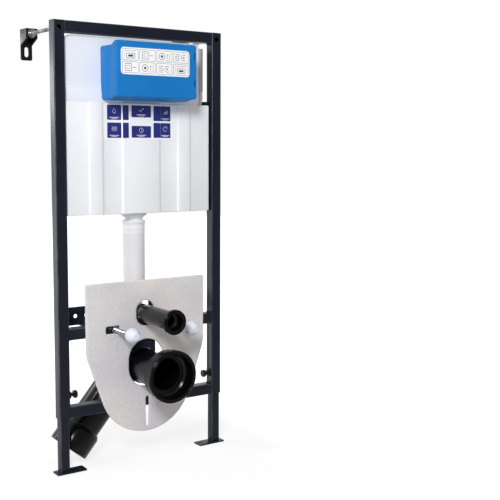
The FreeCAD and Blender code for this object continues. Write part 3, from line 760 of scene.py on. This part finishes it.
# Lock bolts: chamfered head, lock nut against the post and a threaded shank
def lock_bolt(name, post_face, way):
    """Bolt that points along X by way, with its lock nut on the post's inner face."""
    low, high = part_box(name)
    axis = RIGHT * way
    centre = middle(name)
    centre.x = high.x if way < 0 else low.x
    thread_at = BOLT_HEAD_T - BOLT_SUNK
    thread_l = round((high.x - low.x) / MM, 3) - thread_at
    nut_at = abs(post_face - centre.x) / MM - BOLT_NUT_T
    mesh = bmesh.new()
    thread(mesh, centre + axis * thread_at * MM, axis, thread_l, BOLT_R, BOLT_PITCH)
    hex_ring(mesh, centre, axis, BOLT_FLATS, BOLT_HEAD_T, BOLT_DIMPLE)
    hex_ring(mesh, centre + axis * nut_at * MM, axis, BOLT_FLATS, BOLT_NUT_T, BOLT_R - BOLT_BITE)
    made = piece(name + "_cut", mesh, finishes["black_steel"])
    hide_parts(name)


lock_bolt("left_lock_bolt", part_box("left_post")[1].x, -1)
lock_bolt("right_lock_bolt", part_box("right_post")[0].x, 1)


# Sound pad: foam sheet with soft edges and a slightly uneven face
def foam_pad():
    mesh = bmesh.new()
    mesh.from_mesh(nodes["sound_pad"].data)
    bmesh.ops.remove_doubles(mesh, verts=mesh.verts, dist=MERGE)
    made = piece("sound_pad_foam", mesh, finishes["pad_foam"])
    remesh = made.modifiers.new("even", "REMESH")
    remesh.mode = "VOXEL"
    remesh.voxel_size = PAD_VOXEL * MM
    smooth = made.modifiers.new("soft", "SMOOTH")
    smooth.factor = PAD_SMOOTH
    smooth.iterations = PAD_PASSES
    bpy.context.view_layer.update()
    data = bpy.data.meshes.new_from_object(made.evaluated_get(bpy.context.evaluated_depsgraph_get()))
    made.modifiers.clear()
    made.data = data
    ways = [vert.normal.copy() for vert in data.vertices]
    for vert, way in zip(data.vertices, ways):
        wave = sum(noise.noise(vert.co * scale) * height for scale, height in PAD_WAVES)
        vert.co += way * wave * MM
    data.shade_smooth()
    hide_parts("sound_pad")


foam_pad()


# Lip seals in the two bowl sockets
def lip_seal(name):
    low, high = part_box(name)
    centre = middle(name)
    thick = (high.y - low.y) / MM
    outer = (high.x - low.x) / 2 / MM
    inner = outer - LIP_REACH
    shelf = inner + LIP_SHELF * LIP_REACH
    back_lip = shelf - LIP_STEP
    profile = [
        (outer, LIP_EDGE), (outer - LIP_EDGE, 0), (inner + LIP_ROUND, 0), (inner, LIP_EDGE), (inner, LIP_TIP)]
    for radius, rise in zip((shelf, shelf, back_lip, back_lip), LIP_RISES):
        profile.append((radius, rise * thick))
    profile += [(outer - LIP_FACE, thick), (outer, thick - LIP_EDGE)]
    mesh = bmesh.new()
    lathe(mesh, Vector((centre.x, high.y, centre.z)), AHEAD, profile, RING_STEPS)
    made = piece(name + "_lips", mesh, finishes["seal_rubber"])
    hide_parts(name)


lip_seal("waste_seal")
lip_seal("flush_seal")


# Ribbed rubber collar on the flush connector, inside the opening of the pad
def flush_collar():
    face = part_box("sound_pad")[0].y
    length = (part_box("flush_elbow")[0].y - face) / MM - COLLAR_CLEAR
    centre = middle("flush_seal")
    valley = COLLAR_OUT - COLLAR_RIB
    step = length / COLLAR_RIBS
    profile = [(COLLAR_IN, 0), (valley, 0)]
    for i in range(COLLAR_RIBS):
        for radius, rise in zip((valley, COLLAR_OUT, COLLAR_OUT, valley), COLLAR_RISES):
            profile.append((radius, (i + rise) * step))
    profile += [(valley, length - COLLAR_TRIM), (COLLAR_IN, length - COLLAR_TRIM)]
    mesh = bmesh.new()
    lathe(mesh, Vector((centre.x, face + length * MM, centre.z)), AHEAD, profile, RING_STEPS)
    piece("flush_collar", mesh, finishes["black_plastic"])


flush_collar()


# Weld beads in the corners between the rails and the posts
def weld_bead(mesh, corner, length, away, up):
    """Rippled fillet weld along Y from corner, with its legs towards away and up."""
    rows = int(length / BEAD_STEP)
    loops = []
    for i in range(rows + 1):
        place = corner + BACK * length * i / rows * MM
        ends = min(1, BEAD_END + min(i, rows - i) / BEAD_RUN_IN)
        wobble = BEAD_RIPPLE * math.sin(i * BEAD_BEAT) + random.uniform(-BEAD_UNEVEN, BEAD_UNEVEN)
        leg = BEAD_LEG * ends * (1 + wobble)
        loop = [mesh.verts.new(place)]
        for j in range(BEAD_SIDES + 1):
            angle = math.radians(90 * j / BEAD_SIDES)
            out = away * math.cos(angle) + up * math.sin(angle)
            bulge = 1 - BEAD_CROWN + BEAD_CROWN * abs(math.cos(2 * angle))
            loop.append(mesh.verts.new(place + out * leg * bulge * MM))
        loops.append(loop)
    skin(mesh, loops, closed=False)
    mesh.faces.new(list(reversed(loops[0])))
    mesh.faces.new(loops[-1])


def welds():
    mesh = bmesh.new()
    for rail in ("top_rail", "bowl_rail", "lower_rail"):
        low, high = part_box(rail)
        length = (high.y - low.y) / MM - 2 * BEAD_INSET
        for x, away in ((low.x, RIGHT), (high.x, -RIGHT)):
            ends = [(low.z, -UP)] if rail == "top_rail" else [(low.z, -UP), (high.z, UP)]
            for z, up in ends:
                weld_bead(mesh, Vector((x, low.y + BEAD_INSET * MM, z)), length, away, up)
    piece("rail_welds", mesh, weld_paint, sharp=60)


welds()


# Label on the cover: a white sheet with framed panels of plain fitting steps
def arrow(draw, tail, tip):
    """Straight arrow with a solid head beyond its tip."""
    draw([tail, tip], ARROW_LINE)
    way = (Vector(tip) - Vector(tail)).normalized() * ARROW_LINE
    side = Vector((-way.y, way.x)) * ARROW_WIDE
    draw([Vector(tip) + way * ARROW_LONG, Vector(tip) + side, Vector(tip) - side])


def drawing(lines, marks, kind, x, z, y):
    """One of four plain fitting steps: a box to open, a ring to turn, a stack to set and a slide to push."""
    line = pen(lines, x, z, y)
    mark = pen(marks, x, z, y)
    if kind == 0:
        line(round_rect(-15, 4, -STEP_H, STEP_H, 2, 3), BOLD_LINE, True)
        line(round_rect(-10, -1, -4.5, 4.5, 1.5, 3), FINE_LINE, True)
        arrow(mark, (STEP_W, 0), (11, 0))
    elif kind == 1:
        line(circle(-7, 0, 8.5), BOLD_LINE, True)
        line(circle(-7, 0, 3.4))
        line([(4, -STEP_H), (16, -STEP_H), (16, STEP_H)], FINE_LINE)
        arrow(mark, (9, -5), (9, 4))
    elif kind == 2:
        for i in range(4):
            line([(-STEP_W, 5 * i - 8), (2 * (i % 2) - 4, 5 * i - 8)], BOLD_LINE)
        line(arc(9, 0, 7.5, 20, 40, 260), BOLD_LINE)
        mark(circle(9, 0, 2.4, 16))
    else:
        line([(-STEP_W, -STEP_H), (-STEP_W, STEP_H), (STEP_W, STEP_H)], FINE_LINE)
        line(round_rect(-11, 13, -STEP_H, 3, 2, 3), BOLD_LINE, True)
        line(round_rect(-6, 8, -5.5, -0.5, 1, 3))


def cover_label():
    x0, x1, z0, z1 = LABEL
    cover_y = (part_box("service_box_cover")[0].y - FRONT_Y) / MM
    sheet = bmesh.new()
    slab(sheet, round_rect(x0, x1, z0, z1, LABEL_R), cover_y, SHEET_T)
    piece("cover_label_sheet", sheet, paper)
    y = cover_y - SHEET_T
    lines = bmesh.new()
    marks = bmesh.new()
    width = (x1 - x0 - LABEL_GAP * (LABEL_COLUMNS + 1)) / LABEL_COLUMNS
    height = (z1 - z0 - LABEL_GAP * (LABEL_ROWS + 1)) / LABEL_ROWS
    for column in range(LABEL_COLUMNS):
        for row in range(LABEL_ROWS):
            left = x0 + LABEL_GAP + column * (width + LABEL_GAP)
            low = z0 + LABEL_GAP + row * (height + LABEL_GAP)
            panel = round_rect(left, left + width, low, low + height, LABEL_PANEL_R, 4)
            ribbon(lines, panel, FINE_LINE, y, INK_T, True)
            drawing(lines, marks, (column + 3 * row) % 4, left + width / 2, low + height / 2, y)
    piece("cover_label_lines", lines, ink_grey)
    piece("cover_label_marks", marks, ink_red)


cover_label()


# Stickers on the jacket: a white sheet that follows the bands, with six navy panels
def depth_at(x):
    """Depth of the jacket's face: the middle band stands ahead of the face beside it."""
    return BAND_FRONT if abs(x) < BAND_EDGE else BAND_FRONT + BAND_RISE


def spans(left, right):
    """Stretches of a panel, parted by a white gap at the left band's step that is a painted highlight, and at
    the edge of the middle band.
    """
    cuts = [left]
    if left < -BAND_EDGE < right:
        cuts += [GLINT_GAP_LEFT, GLINT_GAP_LEFT + GLINT_GAP_W]
    if left < BAND_EDGE < right:
        cuts += [BAND_EDGE - BAND_CUT, BAND_EDGE + BAND_CUT]
    cuts.append(right)
    return list(zip(cuts[::2], cuts[1::2]))


def icon(mesh, kind, x, z, y):
    """One of six plain signs, 10 to 13 mm high: drop, waves, tick, clock, bars and a turning arrow."""
    draw = pen(mesh, x, z, y)
    if kind == 0:
        draw(arc(0, -DROP_LOW, DROP_R, 20, 150, 240) + [(0, DROP_H)], SIGN_LINE, True)
    elif kind == 1:
        for i in range(3):
            draw([(t - 8, 4 * i - 4 + math.sin(t * 0.8) * 1.1) for t in range(17)], SIGN_LINE)
    elif kind == 2:
        draw([(-7, 0), (-2, -5), (7, 5)], SIGN_TICK)
    elif kind == 3:
        draw(circle(0, 0, SIGN_R), SIGN_LINE, True)
        draw([(0, 4), (0, 0), (3, -2)], SIGN_LINE)
    elif kind == 4:
        for i in range(4):
            draw([(4 * i - 6, -5), (4 * i - 6, 3 * i - 4)], SIGN_BAR)
    else:
        draw(arc(0, 0, SIGN_R, 24, 20, 300), SIGN_LINE)
        draw([(2.4, 3), (5.8, 2), (6.4, 5.6)], SIGN_LINE)


def jacket_stickers():
    x0, x1, z0, z1 = SHEET_BOX
    sheet = bmesh.new()
    edges = (x0, -BAND_EDGE, BAND_EDGE, x1)
    for left, right in zip(edges, edges[1:]):
        slab(sheet, round_rect(left, right, z0, z1, SHEET_R, 2), depth_at((left + right) / 2), SHEET_T)
    piece("sticker_sheet", sheet, paper)
    panels = bmesh.new()
    signs = bmesh.new()
    kind = 0
    for (left, right), rows in zip(PANEL_COLUMNS, PANEL_ROWS):
        parts = spans(left, right)
        widest = max(parts, key=lambda span: span[1] - span[0])
        x = sum(widest) / 2
        y = depth_at(x) - SHEET_T - PANEL_T
        half = min(BAR_HALF, (widest[1] - widest[0]) / 2 - BAR_MARGIN)
        for low, high in rows:
            for a, b in parts:
                back = depth_at((a + b) / 2) - SHEET_T
                slab(panels, round_rect(a, b, low, high, PANEL_R, 4), back, PANEL_T)
            icon(signs, kind, x, (low + high) / 2 + SIGN_UP, y)
            for up, share, line in BARS:
                ribbon(signs, [(x - half * share, low + up), (x + half * share, low + up)], line, y, INK_T)
            kind += 1
    piece("sticker_panels", panels, ink_navy)
    piece("sticker_signs", signs, ink_white)


jacket_stickers()


# Painted shade on the jacket: dark strips along the right edge of each raised band, standing in for the
# shadow at the step
def jacket_seams():
    low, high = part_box("cistern_jacket")
    bottom = (low.z - FLOOR_Z) / MM + SHADE_LINE_ENDS
    top = (high.z - FLOOR_Z) / MM - SHADE_LINE_ENDS
    mesh = bmesh.new()
    for edge in SHADE_LINE_PLACES:
        x = edge - SHADE_LINE_INSET
        ribbon(mesh, [(x, bottom), (x, top)], SHADE_LINE_W, BAND_FRONT, SHADE_LINE_T)
    piece("jacket_seams", mesh, seam_grey)


jacket_seams()


# Stage: pale floor, white surroundings and soft studio light
def seen(tree, where, span):
    """Share of rays that show the background, and its white, dim where a mirror shows the room in front."""
    rays = add(tree, "LightPath")
    straight = larger(tree, rays.outputs["Is Camera Ray"], rays.outputs["Is Transmission Ray"])
    share = larger(tree, straight, rays.outputs["Is Glossy Ray"])
    depth = add(tree, "SeparateXYZ", {"Vector": where}).outputs["Y"]
    white = larger(tree, straight, spread(tree, depth, ROOM_DIM, 1.0, span))
    return share, white


def surroundings():
    world = bpy.data.worlds.new("studio")
    world.use_nodes = True
    tree = world.node_tree
    tree.nodes.clear()
    share, white = seen(tree, add(tree, "TexCoord").outputs["Generated"], ROOM_SPAN)
    light = add(tree, "Background", {"Color": WHITE, "Strength": WORLD_LIGHT})
    shown = add(tree, "Background", {"Color": WHITE, "Strength": white})
    mixed = add(tree, "MixShader", {0: share, 1: light.outputs[0], 2: shown.outputs[0]})
    add(tree, "OutputWorld", {"Surface": mixed.outputs[0]})
    scene.world = world


def floor_finish():
    """Grey to the light that falls on it, and white to the eye, with the shadow kept near the object."""
    finish = bpy.data.materials.new("floor_white")
    finish.use_nodes = True
    tree = finish.node_tree
    tree.nodes.clear()
    plain = add(tree, "BsdfDiffuse", {"Color": tone(*FLOOR_TONE)})
    share, white = seen(tree, places(tree), FLOOR_SPAN)
    glow = add(tree, "Emission", {"Color": WHITE, "Strength": times(tree, white, FLOOR_GLOW)})
    away = add(tree, "VectorMath", {0: places(tree)}, operation="LENGTH").outputs["Value"]
    fade = spread(tree, away, FLOOR_SHARE, 1.0, FLOOR_FADE)
    mixed = add(tree, "MixShader", {0: times(tree, share, fade), 1: plain.outputs[0], 2: glow.outputs[0]})
    add(tree, "OutputMaterial", {"Surface": mixed.outputs[0]})
    return finish


def floor():
    mesh = bmesh.new()
    bmesh.ops.create_circle(mesh, cap_ends=True, radius=FLOOR_R, segments=FLOOR_STEPS)
    data = bpy.data.meshes.new("floor")
    mesh.to_mesh(data)
    mesh.free()
    data.materials.append(floor_finish())
    made = bpy.data.objects.new("floor", data)
    made.location = site(0, 0, 0) - UP * FLOOR_DROP
    scene.collection.objects.link(made)


def softbox(name, place, aim, size, watts):
    lamp = bpy.data.lights.new(name, "AREA")
    lamp.shape = "RECTANGLE"
    lamp.size, lamp.size_y = size
    lamp.energy = watts
    made = bpy.data.objects.new(name, lamp)
    made.location = site(*place)
    made.rotation_euler = (site(*aim) - made.location).to_track_quat("-Z", "Y").to_euler()
    scene.collection.objects.link(made)


surroundings()
floor()
for name, settings in LAMPS.items():
    softbox(name, *settings)

bpy.context.view_layer.update()
